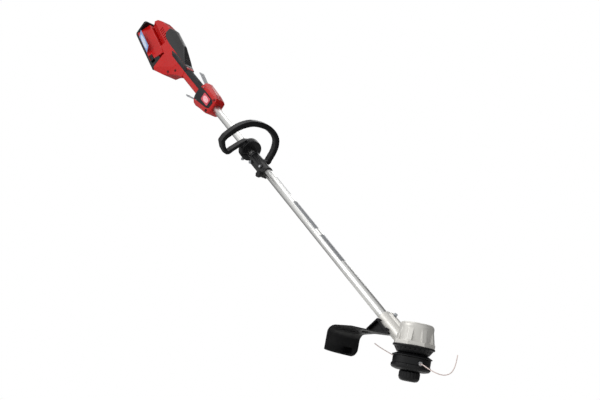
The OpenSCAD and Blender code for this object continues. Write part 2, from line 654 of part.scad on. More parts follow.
// Route of each line from its eyelet, in the frame of that eyelet: x outwards, y sideways, z up
line_a_route = [[39, 0, 43], [47, 0, 43], [56, 2, 41], [66, 6, 37], [74, 15, 32], [79, 28, 28], [80, 42, 27],
    [78, 55, 30], [73, 67, 37], [67, 76, 48], [61, 82, 62], [57, 85, 80]];
line_b_route = [[39, 0, 43], [48, 0, 43.2], [57, 2, 46.5], [66, 6, 52], [75, 12, 56], [83, 20, 60], [89, 29, 64],
    [94, 38, 68], [97, 47, 72], [99, 55, 76]];
module line_a() color("#eeddd8") rotate(eyelet_az) sweep(smooth(line_a_route, 3), line_d, 8);
module line_b() color("#eeddd8") rotate(eyelet_az + 180) sweep(smooth(line_b_route, 3), line_d, 8);

module spool() difference() {
    union() {
        color(charcoal) translate([0, 0, 32]) cylinder(r = 40, h = 2);
        color(charcoal) translate([0, 0, 48]) cylinder(r = 40, h = 2);
        color(charcoal) translate([0, 0, 32]) cylinder(r = 16, h = 18);
        color("#eeddd8") translate([0, 0, 34]) cylinder(r = 35, h = 14);
    }
    translate([0, 0, 30]) cylinder(r = 11.05, h = 24);
}

module bump_knob() color(black) difference() {
    union() {
        rotate_extrude() polygon([[0, 0], [15, 0], [20, 1.4], [knob_d / 2 - 2, 4.5], [knob_d / 2, 9],
            [knob_d / 2, 20], [knob_d / 2 - 1.5, 23.5], [11, 23.5], [11, 24], [0, 24]]);
        cylinder(r = 11, h = 45);
    }
    translate([0, 0, 26]) cylinder(r = 8, h = 30);
    for (a = [0:20:340]) rotate(a) translate([knob_d / 2 + 1.2, 0, 6]) cylinder(r = 2.2, h = 20);
}
module bump_spring() color(steel) translate([0, 0, 26.6]) coil(6, 1, 3.4, 5);

// ---- Guard -------------------------------------------------------------------------------------

guard_screw_places = [[85, 1], [120, 1], [85, -1], [120, -1]];
plate_z = 97;
plate_rise = 4;
web_z = plate_z + plate_rise;
skirt_round = 21;
corner_r = 22;
function skirt_bend(r) = [for (a = [0:15:90])
    [skirt_r - skirt_round + r * cos(a), plate_z + guard_t - skirt_round + r * sin(a)]];
module guard() color(black) difference() {
    union() {
        rotate([0, 0, skirt_from]) rotate_extrude(angle = skirt_arc, $fn = 180) polygon(concat(
            [[skirt_r, skirt_z]], skirt_bend(skirt_round),
            [[150, plate_z + plate_rise + guard_t], [150, plate_z + plate_rise]],
            [for (i = [6:-1:0]) skirt_bend(skirt_round - guard_t)[i]], [[skirt_r - guard_t, skirt_z]]));
        translate([0, 0, web_z + 0.2]) linear_extrude(guard_t - 0.4) polygon(concat([[-68, 17]],
            [for (i = [0:10]) 152 * [cos(skirt_from + skirt_arc * i / 10), sin(skirt_from + skirt_arc * i / 10)]],
            [[-96, -40], [-68, -24]]));
        rotate([90, 0, 0]) linear_extrude(32, center = true) polygon([[-67, web_z + 1], [-146, web_z + 1],
            [-146, web_z + 9], [-114, 140], [-106, 146], [-62, 112]]);
    }
    rotate(skirt_from) translate([skirt_r - 20, 0, skirt_z]) rotate([90, 0, 90])
        linear_extrude(40) difference() {
            translate([-corner_r, -corner_r]) square(2 * corner_r);
            translate([corner_r, corner_r]) circle(corner_r);
        }
    on_shaft(20) cylinder(d = neck_d + 0.2, h = 200);
    on_shaft(20) translate([50, 0, 100]) cube([100, 100, 300], center = true);
    for (s = [-1, 1]) translate([0, s * 22, 0]) rotate([90, 0, 0]) linear_extrude(30, center = true)
        polygon([[-84, web_z + guard_t - 0.2], [-150, web_z + guard_t - 0.2], [-142, 108], [-114, 132], [-100, 116]]);
    for (a = guard_screw_places) on_shaft(a[0]) translate([-6, a[1] * 20, 0]) rotate([90, 0, 0])
        cylinder(r = 2.1, h = 12, center = true);
}

module guard_screws() color(steel) for (a = guard_screw_places) on_shaft(a[0]) translate([-6, 0, 0])
    rotate([a[1] * -90, 0, 0]) {
        translate([0, 0, 13.5]) cylinder(r = 2, h = 9);
        translate([0, 0, 22.1]) cylinder(r = 4, h = 2.6);
    }

module guard_strap() color(silver) translate([-147, -12, web_z - 2.3]) cube([22, 10, 2.4], center = true);

module line_cutter() color("#d9dadb") rotate(183) translate([skirt_r - guard_t - 9, 0, 50]) {
    cube([17.4, 2, 16], center = true);
    translate([7.8, 6, 0]) cube([1.2, 12, 16], center = true);
}

housing_right();
housing_left();
handle_right();
handle_left();
top_cover();
rubber_grip();
hub_panels();
badges();
handle_screws();
controller_board();
tool_terminals();
switch_block();
trigger();
lockout_lever();
lever_pins();
trigger_spring();
lockout_spring();
battery_base();
battery_shell();
battery_cells();
battery_labels();
latch_right();
latch_left();
upper_tube();
upper_cable();
connector_socket();
contact_pins();
coupler();
coupler_screws();
clamp_knob();
release_button();
release_spring();
front_handle();
handle_cap();
handle_bolts();
lower_tube();
lower_cable();
connector_plug();
shaft_labels();
motor_housing();
neck_screw();
motor_base();
stator();
windings();
bearings();
guard();
guard_screws();
guard_strap();
line_cutter();
rotor();
spindle();
dust_flange();
spool_housing();
spool_cap();
eyelets();
line_a();
line_b();
spool();
bump_knob();
bump_spring();
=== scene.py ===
"""Visual model of a battery string trimmer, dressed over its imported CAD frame."""

import json
import logging
import math
from dataclasses import dataclass
from enum import Enum
from typing import Any, Sequence

import bmesh
import bpy
from mathutils import Matrix, Vector


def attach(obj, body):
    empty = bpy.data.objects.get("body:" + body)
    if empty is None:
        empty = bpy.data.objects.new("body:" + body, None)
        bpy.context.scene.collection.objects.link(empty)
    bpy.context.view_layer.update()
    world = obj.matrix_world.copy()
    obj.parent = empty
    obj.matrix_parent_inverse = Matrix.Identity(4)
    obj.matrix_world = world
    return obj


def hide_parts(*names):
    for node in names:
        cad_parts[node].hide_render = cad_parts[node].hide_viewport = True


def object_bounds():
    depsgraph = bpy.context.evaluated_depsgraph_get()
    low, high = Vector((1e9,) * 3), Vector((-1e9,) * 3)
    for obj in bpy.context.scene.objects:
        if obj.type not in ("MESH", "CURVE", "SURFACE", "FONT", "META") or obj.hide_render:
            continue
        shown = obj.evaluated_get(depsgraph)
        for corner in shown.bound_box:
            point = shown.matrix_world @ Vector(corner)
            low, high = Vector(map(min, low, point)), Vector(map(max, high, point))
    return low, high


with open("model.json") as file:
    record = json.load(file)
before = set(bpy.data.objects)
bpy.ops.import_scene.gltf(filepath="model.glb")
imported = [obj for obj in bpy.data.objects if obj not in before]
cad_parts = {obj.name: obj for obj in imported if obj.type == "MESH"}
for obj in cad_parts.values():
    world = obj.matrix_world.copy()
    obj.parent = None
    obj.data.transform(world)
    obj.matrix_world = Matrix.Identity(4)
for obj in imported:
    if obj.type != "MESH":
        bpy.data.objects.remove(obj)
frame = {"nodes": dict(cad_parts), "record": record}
CAD_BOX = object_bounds()

LOG = logging.getLogger("string_trimmer")
MM = 0.001
COAT_ROUGHNESS = 0.06
WELD_MM = 0.01
Colour = tuple[float, float, float, float]
Point = tuple[float, float, float]


# ---- Nodes and colours -----------------------------------------------------------------------


def linear(code: str) -> Colour:
    """Turn an sRGB hex colour into linear values.

    Args:
        code: Six hex digits with a leading hash.

    Returns:
        Red, green, blue and alpha, linear.
    """
    parts = [int(code[i:i + 2], 16) / 255 for i in (1, 3, 5)]
    red, green, blue = [p / 12.92 if p <= 0.04045 else ((p + 0.055) / 1.055) ** 2.4 for p in parts]
    return red, green, blue, 1.0


def add_node(
    tree: bpy.types.NodeTree,
    kind: str,
    settings: dict[str | int, Any] | None = None,
    links: dict[str | int, tuple[bpy.types.Node, str]] | None = None,
) -> bpy.types.Node:
    """Add one node with its settings and the links into it.

    Args:
        tree: The node tree it goes in.
        kind: Blender's name of the node type.
        settings: Values of sockets, or of the node's own options, by name.
        links: For each socket fed by another node, that node and its output.

    Returns:
        The new node.
    """
    node = tree.nodes.new(kind)
    for name, value in (settings or {}).items():
        if isinstance(name, int) or name in node.inputs:
            node.inputs[name].default_value = value
        else:
            setattr(node, name, value)
    for name, (source, output) in (links or {}).items():
        tree.links.new(source.outputs[output], node.inputs[name])
    return node


def per_metre(size_mm: float) -> float:
    """Noise scale whose features are about that many millimetres across."""
    return 1.0 / (size_mm * MM)


# ---- Finishes --------------------------------------------------------------------------------


@dataclass(frozen=True)
class Finish:
    """A surface as it left the factory: colour, its drift, gloss, and the fine relief on it."""

    name: str
    colour: str
    shade: str
    roughness: float
    metallic: float = 0.0
    ior: float = 1.5
    coat: float = 0.0
    shine: float = 0.5
    drift_mm: float = 40.0
    gloss_drift: float = 0.06
    relief_mm: float = 0.6
    relief_depth_mm: float = 0.02
    stretch: Point = (1.0, 1.0, 1.0)
    tilt: float = 0.0

    def material(self) -> bpy.types.Material:
        """Build the material once, and give the same one back after that.

        Returns:
            The material named after this finish.
        """
        found = bpy.data.materials.get(self.name)
        if found:
            return found
        made = bpy.data.materials.new(self.name)
        made.use_nodes = True
        tree = made.node_tree
        tree.nodes.clear()
        shader = add_node(tree, "ShaderNodeBsdfPrincipled", {
            "Metallic": self.metallic, "IOR": self.ior, "Coat Weight": self.coat,
            "Coat Roughness": COAT_ROUGHNESS, "Specular IOR Level": self.shine})
        add_node(tree, "ShaderNodeOutputMaterial", links={"Surface": (shader, "BSDF")})
        place = self.place(tree)
        tree.links.new(*self.paint(tree, place), shader.inputs["Base Color"])
        self.gloss(tree, place, shader)
        self.relief(tree, place, shader)
        made.diffuse_color = linear(self.colour)
        return made

    def place(self, tree: bpy.types.NodeTree) -> bpy.types.Node:
        """Coordinates in metres, turned and stretched along the way the surface was worked.

        Args:
            tree: The material's node tree.

        Returns:
            The node that gives them.
        """
        spot = add_node(tree, "ShaderNodeTexCoord")
        return add_node(tree, "ShaderNodeMapping", {
            "vector_type": "TEXTURE", "Rotation": (0.0, self.tilt, 0.0), "Scale": self.stretch},
            {"Vector": (spot, "Object")})

    def paint(self, tree: bpy.types.NodeTree, place: bpy.types.Node) -> tuple[Any, ...]:
        """Base colour drifting slowly between the two colours of the finish.

        Args:
            tree: The material's node tree.
            place: The node that gives the coordinates.

        Returns:
            The output socket that carries the colour.
        """
        cloud = add_node(tree, "ShaderNodeTexNoise", {
            "Scale": per_metre(self.drift_mm), "Detail": 4.0, "Roughness": 0.55},
            {"Vector": (place, "Vector")})
        mix = add_node(tree, "ShaderNodeMixRGB", {
            "Color1": linear(self.shade), "Color2": linear(self.colour)}, {"Fac": (cloud, "Fac")})
        return (mix.outputs["Color"],)

    def gloss(self, tree: bpy.types.NodeTree, place: bpy.types.Node,
              shader: bpy.types.Node) -> None:
        """Roughness that wanders a little either side of its value.

        Args:
            tree: The material's node tree.
            place: The node that gives the coordinates.
            shader: The shader that is fed.
        """
        patches = add_node(tree, "ShaderNodeTexNoise", {
            "Scale": per_metre(self.drift_mm * 0.35), "Detail": 5.0}, {"Vector": (place, "Vector")})
        span = add_node(tree, "ShaderNodeMapRange", {
            "From Min": 0.3, "From Max": 0.7,
            "To Min": max(0.02, self.roughness - self.gloss_drift),
            "To Max": self.roughness + self.gloss_drift}, {"Value": (patches, "Fac")})
        tree.links.new(span.outputs["Result"], shader.inputs["Roughness"])

    def relief(self, tree: bpy.types.NodeTree, place: bpy.types.Node,
               shader: bpy.types.Node) -> None:
        """Fine grain left by the tool, the blast or the drawing die.

        Args:
            tree: The material's node tree.
            place: The node that gives the coordinates.
            shader: The shader that is fed.
        """
        grain = add_node(tree, "ShaderNodeTexNoise", {
            "Scale": per_metre(self.relief_mm), "Detail": 3.0, "Roughness": 0.6},
            {"Vector": (place, "Vector")})
        bump = add_node(tree, "ShaderNodeBump", {
            "Strength": 0.5, "Distance": self.relief_depth_mm * MM}, {"Height": (grain, "Fac")})
        tree.links.new(bump.outputs["Normal"], shader.inputs["Normal"])


@dataclass(frozen=True)
class DimpledRubber(Finish):
    """Thermoplastic rubber moulded over the grip, with a field of small raised dots."""

    dot_mm: float = 3.0
    dot_depth_mm: float = 0.3

    def relief(self, tree: bpy.types.NodeTree, place: bpy.types.Node,
               shader: bpy.types.Node) -> None:
        """Dots a few millimetres apart over a dull fine grain; the real grain is finer.

        Args:
            tree: The material's node tree.
            place: The node that gives the coordinates.
            shader: The shader that is fed.
        """
        dots = add_node(tree, "ShaderNodeTexVoronoi", {
            "Scale": per_metre(self.dot_mm), "Randomness": 0.15}, {"Vector": (place, "Vector")})
        domes = add_node(tree, "ShaderNodeMapRange", {
            "From Min": 0.2, "From Max": 0.45, "To Min": 1.0, "To Max": 0.0},
            {"Value": (dots, "Distance")})
        grain = add_node(tree, "ShaderNodeTexNoise", {
            "Scale": per_metre(self.relief_mm), "Detail": 3.0}, {"Vector": (place, "Vector")})
        first = add_node(tree, "ShaderNodeBump", {
            "Strength": 0.4, "Distance": self.relief_depth_mm * MM}, {"Height": (grain, "Fac")})
        second = add_node(tree, "ShaderNodeBump", {
            "Strength": 0.6, "Distance": self.dot_depth_mm * MM},
            {"Height": (domes, "Result"), "Normal": (first, "Normal")})
        tree.links.new(second.outputs["Normal"], shader.inputs["Normal"])


@dataclass(frozen=True)
class BandedFinish(Finish):
    """A finish with regular bands across it: print lines, stacked sheets or wound wire."""

    band_colour: str = "#FFFFFF"
    band_mm: float = 6.0
    band_along: str = "X"
    band_share: float = 0.35

    def paint(self, tree: bpy.types.NodeTree, place: bpy.types.Node) -> tuple[Any, ...]:
        """Bands of the second colour over the drifting base colour.

        Args:
            tree: The material's node tree.
            place: The node that gives the coordinates.

        Returns:
            The output socket that carries the colour.
        """
        base = super().paint(tree, place)[0]
        waves = add_node(tree, "ShaderNodeTexWave", {
            "bands_direction": self.band_along, "Scale": per_metre(self.band_mm) / 20.0 * math.tau,
            "Distortion": 0.0, "Detail": 0.0}, {"Vector": (place, "Vector")})
        edge = add_node(tree, "ShaderNodeMapRange", {
            "From Min": 1.0 - self.band_share, "From Max": 1.0 - self.band_share + 0.04},
            {"Value": (waves, "Fac")})
        mix = add_node(tree, "ShaderNodeMixRGB", {"Color2": linear(self.band_colour)},
                       {"Fac": (edge, "Result")})
        tree.links.new(base, mix.inputs["Color1"])
        return (mix.outputs["Color"],)


@dataclass(frozen=True)
class PrintedLabel(Finish):
    """Vinyl label: plain colour, a pale panel and short generic lines of print, no lettering."""

    panel: str = "#E8EEF6"
    ink: str = "#2B3A55"
    centre: Point = (0.0, 0.0, 0.0)
    half_mm: Point = (30.0, 10.0, 200.0)
    lean: float = 0.0

    def paint(self, tree: bpy.types.NodeTree, place: bpy.types.Node) -> tuple[Any, ...]:
        """A pale rounded panel inside the label, crossed by broken lines of ink.

        Args:
            tree: The material's node tree.
            place: The node that gives the coordinates.

        Returns:
            The output socket that carries the colour.
        """
        base = super().paint(tree, place)[0]
        spot = add_node(tree, "ShaderNodeTexCoord")
        flat = add_node(tree, "ShaderNodeMapping", {
            "vector_type": "TEXTURE", "Location": self.centre,
            "Rotation": (math.pi / 2, self.lean, 0.0),
            "Scale": [h * MM for h in self.half_mm]}, {"Vector": (spot, "Object")})
        reach = add_node(tree, "ShaderNodeVectorMath", {"operation": "LENGTH"},
                         {0: (flat, "Vector")})
        panel = add_node(tree, "ShaderNodeMapRange", {
            "From Min": 1.45, "From Max": 1.35}, {"Value": (reach, "Value")})
        pale = add_node(tree, "ShaderNodeMixRGB", {"Color2": linear(self.panel)},
                        {"Fac": (panel, "Result")})
        tree.links.new(base, pale.inputs["Color1"])
        rows = add_node(tree, "ShaderNodeTexBrick", {
            "Color1": (1, 1, 1, 1), "Color2": (0.2, 0.2, 0.2, 1), "Mortar": (0, 0, 0, 1),
            "Scale": 1.0, "Brick Width": 0.7, "Row Height": 0.34, "Mortar Size": 0.09},
            {"Vector": (flat, "Vector")})
        ink = add_node(tree, "ShaderNodeMixRGB", {"Color2": linear(self.ink)})
        tree.links.new(pale.outputs["Color"], ink.inputs["Color1"])
        both = add_node(tree, "ShaderNodeMath", {"operation": "MULTIPLY"},
                        {0: (rows, "Color"), 1: (panel, "Result")})
        tree.links.new(both.outputs["Value"], ink.inputs["Fac"])
        return (ink.outputs["Color"],)


# ---- Where things are ------------------------------------------------------------------------

TILT = math.radians(35.0)
BATTERY_LEAN = math.radians(8.5)
AXIS_HEIGHT = 68.0 * MM


def on_shaft(along: float, normal: float = 0.0, side: float = 0.0) -> Vector:
    """A point given by its place on the shaft.

    Args:
        along: Millimetres up the shaft from the spin axis.
        normal: Millimetres square to the shaft, upwards.
        side: Millimetres to the operator's left.

    Returns:
        The point in metres, in the shared frame.
    """
    return Vector((
        (-along * math.cos(TILT) + normal * math.sin(TILT)) * MM, side * MM,
        AXIS_HEIGHT + (along * math.sin(TILT) + normal * math.cos(TILT)) * MM))


SHAFT_UP = Vector((-math.cos(TILT), 0.0, math.sin(TILT)))
SHAFT_NORMAL = Vector((math.sin(TILT), 0.0, math.cos(TILT)))
BODY_OF = {node: body for body, nodes in frame["record"]["behaviour"]["bodies"].items()
           for node in nodes}
SLOT_OF = {part["node"]: part["material_slot"] for part in frame["record"]["subparts"]}


# ---- The finishes of this tool ---------------------------------------------------------------

# Each finish is what its surface is made of, then how it was made.
FINISHES: dict[str, Finish] = {
    # Gloss-moulded ABS: deep even red with a hard clear highlight and a faint orange-peel ripple
    "red_plastic": Finish("abs_red_gloss_moulded", "#B4100E", "#A40C0B", 0.26, coat=0.06,
                          shine=0.26, relief_mm=5.0, relief_depth_mm=0.02),
    # Glass-filled nylon from a spark-eroded mould: near black, with a soft broad sheen
    "black_plastic": Finish("nylon_black_spark_textured", "#111113", "#0B0B0D", 0.4, shine=0.25,
                            relief_mm=0.9, relief_depth_mm=0.06),
    # Polished-mould ABS: black with sharp window-like highlights
    "black_gloss": Finish("abs_black_polished_moulded", "#101012", "#0A0A0C", 0.2, coat=0.15,
                          shine=0.4, relief_mm=6.0, relief_depth_mm=0.015),
    # Thermoplastic rubber: charcoal and dull, dotted for grip
    "grip_rubber": DimpledRubber("tpe_charcoal_overmoulded", "#262629", "#1D1D20", 0.68, shine=0.18,
                                 relief_mm=0.7, relief_depth_mm=0.05),
    # Gloss vinyl, screen printed: a crimson plate with a pale lozenge
    "badge": PrintedLabel("vinyl_crimson_screen_printed", "#C8384A", "#B52A3C", 0.28, coat=0.3,
                          panel="#EDB9BF", ink="#C8384A", centre=tuple(on_shaft(1216, 3.5)),
                          half_mm=(13.0, 6.0, 200.0), lean=TILT, relief_depth_mm=0.01),
    # Gloss vinyl, screen printed: sky blue round a pale panel of small print
    "label": PrintedLabel("vinyl_blue_screen_printed", "#7FA3D8", "#6C92CC", 0.3, coat=0.25,
                          panel="#DCE6F4", ink="#6C8CC4", centre=tuple(on_shaft(1683.0, -31.0)),
                          half_mm=(29.0, 7.0, 200.0), lean=TILT + BATTERY_LEAN,
                          relief_depth_mm=0.01),
    # Polyester film, printed grey: fine rows of dark print
    "film_label": BandedFinish("polyester_film_grey_printed", "#9B9DA0", "#8C8E92", 0.38,
                               band_colour="#4A4C50", band_mm=3.2, band_share=0.42, tilt=TILT,
                               relief_depth_mm=0.01),
    # Steel, zinc plated: pale grey with a cloudy blue-white bloom
    "steel": Finish("steel_zinc_plated", "#B4B7BB", "#8F9397", 0.34, metallic=1.0, drift_mm=6.0,
                    relief_mm=0.8, relief_depth_mm=0.02),
    # Aluminium tube, drawn then satin anodised: near white, with fine streaks along its length
    "silver_tube": Finish("aluminium_drawn_anodised", "#E4E4E2", "#D2D2D0", 0.3, metallic=1.0,
                          drift_mm=14.0, relief_mm=1.2, relief_depth_mm=0.015,
                          stretch=(25.0, 1.0, 1.0), tilt=TILT),
    # Aluminium die casting under silver paint: light grey flake over a slightly pitted skin
    "cast_silver": Finish("aluminium_die_cast_painted", "#D6D4CF", "#CBC9C4", 0.42, metallic=0.4,
                          drift_mm=30.0, relief_mm=1.2, relief_depth_mm=0.015),
    # Glass-filled nylon, satin: mid grey and even
    "grey_lever": Finish("nylon_grey_satin_moulded", "#8B8D91", "#7A7C80", 0.38, relief_mm=0.9,
                         relief_depth_mm=0.04),
    # Glass-epoxy board under solder mask: dark green and glossy
    "pcb": BandedFinish("glass_epoxy_solder_masked", "#1F6B3F", "#185A34", 0.25,
                        band_colour="#2E8A55", band_mm=2.5, band_share=0.3, relief_depth_mm=0.01),
    # Brass, rolled bright: warm yellow with sliding marks
    "contacts": Finish("brass_rolled_bright", "#CFA95A", "#B58F42", 0.22, metallic=1.0,
                       drift_mm=4.0, relief_mm=0.6, relief_depth_mm=0.01),
    # PVC sleeve shrunk on the cells: petrol blue with a plastic gloss
    "cell_wrap": Finish("pvc_petrol_shrunk", "#3C7F94", "#326F83", 0.3, coat=0.2, relief_mm=3.0,
                        relief_depth_mm=0.03),
    # PVC cable jacket, extruded: black with faint rings
    "cable_jacket": Finish("pvc_black_extruded", "#1A1A1B", "#131314", 0.5, relief_mm=1.5,
                           relief_depth_mm=0.03),
    # Aluminium casting under powder coat: black with a fine pebbled skin
    "coupler_black": Finish("aluminium_powder_coated", "#131314", "#0C0C0D", 0.36, coat=0.1,
                            shine=0.35, relief_mm=1.1, relief_depth_mm=0.08),
    # Copper wire, enamelled and wound: orange-brown strands side by side
    "copper_wire": BandedFinish("copper_enamelled_wound", "#B4622F", "#9C5024", 0.3, metallic=1.0,
                                band_colour="#7A3B18", band_mm=1.0, band_along="Z", band_share=0.3),
    # Electrical steel, punched and stacked: grey with hair-thin dark joints
    "laminations": BandedFinish("silicon_steel_stacked", "#6E7074", "#5E6064", 0.4, metallic=1.0,
                                band_colour="#37383A", band_mm=1.0, band_along="Z",
                                band_share=0.25),
    # Steel, black oxide: near black with a slight oily gleam
    "black_oxide": Finish("steel_black_oxide", "#2B2B2D", "#1E1E20", 0.38, metallic=0.9,
                          drift_mm=6.0, relief_mm=0.7, relief_depth_mm=0.02),
    # Nylon monofilament, extruded: pale pink-white and slightly waxy
    "nylon_line": Finish("nylon_monofilament_extruded", "#EBD9D3", "#DFC9C3", 0.32, ior=1.53,
                         coat=0.2, drift_mm=8.0, relief_mm=1.0, relief_depth_mm=0.01),
    # Steel, ground and polished: bright, with faint turning marks
    "bright_steel": Finish("steel_turned_polished", "#D6D7D9", "#C2C4C7", 0.16, metallic=1.0,
                           drift_mm=8.0, relief_mm=0.5, relief_depth_mm=0.008),
}


# ---- Making pieces ---------------------------------------------------------------------------


def link(item: bpy.types.Object) -> bpy.types.Object:
    """Put an object in the scene and give it back."""
    bpy.context.scene.collection.objects.link(item)
    return item


def settle(piece: bpy.types.Object, body: str, slot: str, nodes: Sequence[str] = (),
           finish: str = "") -> None:
    """Dress a new piece in its slot's finish, tie it to its body, and hide the nodes it stands for.

    Args:
        piece: The new piece, already in place.
        body: The CAD body it moves with.
        slot: The record's material slot.
        nodes: CAD nodes that it replaces.
        finish: The finish, where it isn't the slot's own.
    """
    piece.data.materials.clear()
    piece.data.materials.append(FINISHES[finish or slot].material())
    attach(piece, body)
    if nodes:
        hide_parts(*nodes)
    LOG.info("piece %s on %s", piece.name, body)


def smooth_faces(mesh: bpy.types.Mesh, sharp_degrees: float = 40.0) -> None:
    """Shade a mesh smooth, except across edges sharper than the angle."""
    mesh.shade_smooth()
    mesh.set_sharp_from_angle(angle=math.radians(sharp_degrees))


def applied(item: bpy.types.Object, name: str) -> bpy.types.Object:
    """Bake an object's modifiers into a new object.

    Args:
        item: The object with modifiers, which is removed.
        name: The name of the new object.

    Returns:
        The new object, linked to the scene.
    """
    seen = bpy.context.evaluated_depsgraph_get()
    mesh = bpy.data.meshes.new_from_object(item.evaluated_get(seen))
    bpy.data.objects.remove(item)
    mesh.name = name
    return link(bpy.data.objects.new(name, mesh))


@dataclass(frozen=True)
class Softened:
    """A CAD solid turned into a moulded or cast shell with rounded edges.

    Attributes:
        node: The CAD node.
        voxel_mm: Grid of the remesh, which sets the smallest rounding.
        passes: Smoothing passes, which set how far edges round over.
        keep: Share of faces kept after thinning out flat areas.
    """

    node: str
    voxel_mm: float
    passes: int = 5
    keep: float = 0.5

    def build(self) -> bpy.types.Object:
        """Remesh, smooth and thin the solid, then put it in place of the node.

        Returns:
            The new piece, tied to its body.
        """
        source = frame["nodes"][self.node]
        item = link(bpy.data.objects.new("working_" + self.node, source.data.copy()))
        weld = item.modifiers.new("weld", "WELD")
        weld.merge_threshold = WELD_MM * MM
        grid = item.modifiers.new("grid", "REMESH")
        grid.mode = "VOXEL"
        grid.voxel_size = self.voxel_mm * MM
        grid.adaptivity = 0.0
        ease = item.modifiers.new("ease", "SMOOTH")
        ease.factor = 0.5
        ease.iterations = self.passes
        thin = item.modifiers.new("thin", "DECIMATE")
        thin.ratio = self.keep
        piece = applied(item, "shell_" + self.node)
        smooth_faces(piece.data, 60.0)
        settle(piece, BODY_OF[self.node], SLOT_OF[self.node], [self.node])
        return piece


def lathe(name: str, profile: Sequence[tuple[float, float]], steps: int,
          place: Matrix) -> bpy.types.Object:
    """Turn a profile about the local z axis.

    Args:
        name: The new object's name.
        profile: Points of radius and height, in millimetres.
        steps: Sides round the axis.
        place: Where the local axes stand, in metres.

    Returns:
        The turned object, in place and linked.
    """
    work = bmesh.new()
    rings = []
    for radius, height in profile:
        turns = [math.tau * k / steps for k in range(steps)] if radius > 0 else [0.0]
        rings.append([work.verts.new((
            radius * MM * math.cos(turn), radius * MM * math.sin(turn), height * MM))
            for turn in turns])
    for low, high in zip(rings, rings[1:]):
        for k in range(steps):
            ends = [low[k % len(low)], low[(k + 1) % len(low)],
                    high[(k + 1) % len(high)], high[k % len(high)]]
            corners = list(dict.fromkeys(ends))
            if len(corners) > 2:
                work.faces.new(corners)
    bmesh.ops.recalc_face_normals(work, faces=work.faces)
    work.transform(place)
    mesh = bpy.data.meshes.new(name)
    work.to_mesh(mesh)
    work.free()
    smooth_faces(mesh, 35.0)
    return link(bpy.data.objects.new(name, mesh))


def facing(spot: Vector, way: Vector) -> Matrix:
    """Axes at a spot whose z points a given way."""
    return Matrix.Translation(spot) @ way.to_track_quat("Z", "Y").to_matrix().to_4x4()


# ---- Sub-assemblies --------------------------------------------------------------------------


@dataclass
class CuttingLines:
    """The two free ends of nylon line, each from its eyelet."""

    thickness_mm: float = 2.4
    eyelet_degrees: float = -22.5
    steps: int = 3
    long_route: Sequence[Point] = (
        (39, 0, 43), (47, 0, 43), (56, 2, 41), (66, 6, 37), (74, 15, 32), (79, 28, 28),
        (80, 42, 27), (78, 55, 30), (73, 67, 37), (67, 76, 48), (61, 82, 62), (57, 85, 80))
    short_route: Sequence[Point] = (
        (39, 0, 43), (48, 0, 43.2), (57, 2, 46.5), (66, 6, 52), (75, 12, 56), (83, 20, 60),
        (89, 29, 64), (94, 38, 68), (97, 47, 72), (99, 55, 76))

    def smoothed(self, route: Sequence[Point]) -> list[Vector]:
        """Run a smooth curve through a route's points.

        Args:
            route: Points in millimetres.

        Returns:
            Closer points on the curve through them, in millimetres.
        """
        points = [Vector(p) for p in route]
        last = len(points) - 1
        out = []
        for i in range(last):
            a, b, c, d = points[max(i - 1, 0)], points[i], points[i + 1], points[min(i + 2, last)]
            for k in range(self.steps):
                u = k / self.steps
                out.append(0.5 * (2 * b + (c - a) * u + (2 * a - 5 * b + 4 * c - d) * u * u
                                  + (3 * b - a - 3 * c + d) * u ** 3))
        return out + [points[-1]]

    def build(self) -> None:
        """Lay both lines along their routes."""
        for name, route, turn in (("line_a", self.long_route, 0.0),
                                  ("line_b", self.short_route, 180.0)):
            spin = Matrix.Rotation(math.radians(self.eyelet_degrees + turn), 3, "Z")
            points = [spin @ p * MM for p in self.smoothed(route)]
            curve = bpy.data.curves.new("cut_" + name, "CURVE")
            curve.dimensions = "3D"
            curve.bevel_depth = self.thickness_mm / 2 * MM
            curve.bevel_resolution = 4
            curve.use_fill_caps = True
            spline = curve.splines.new("POLY")
            spline.points.add(len(points) - 1)
            for knot, point in zip(spline.points, points):
                knot.co = (*point, 1.0)
            piece = link(bpy.data.objects.new("cut_" + name, curve))
            settle(piece, "head", "nylon_line", [name])


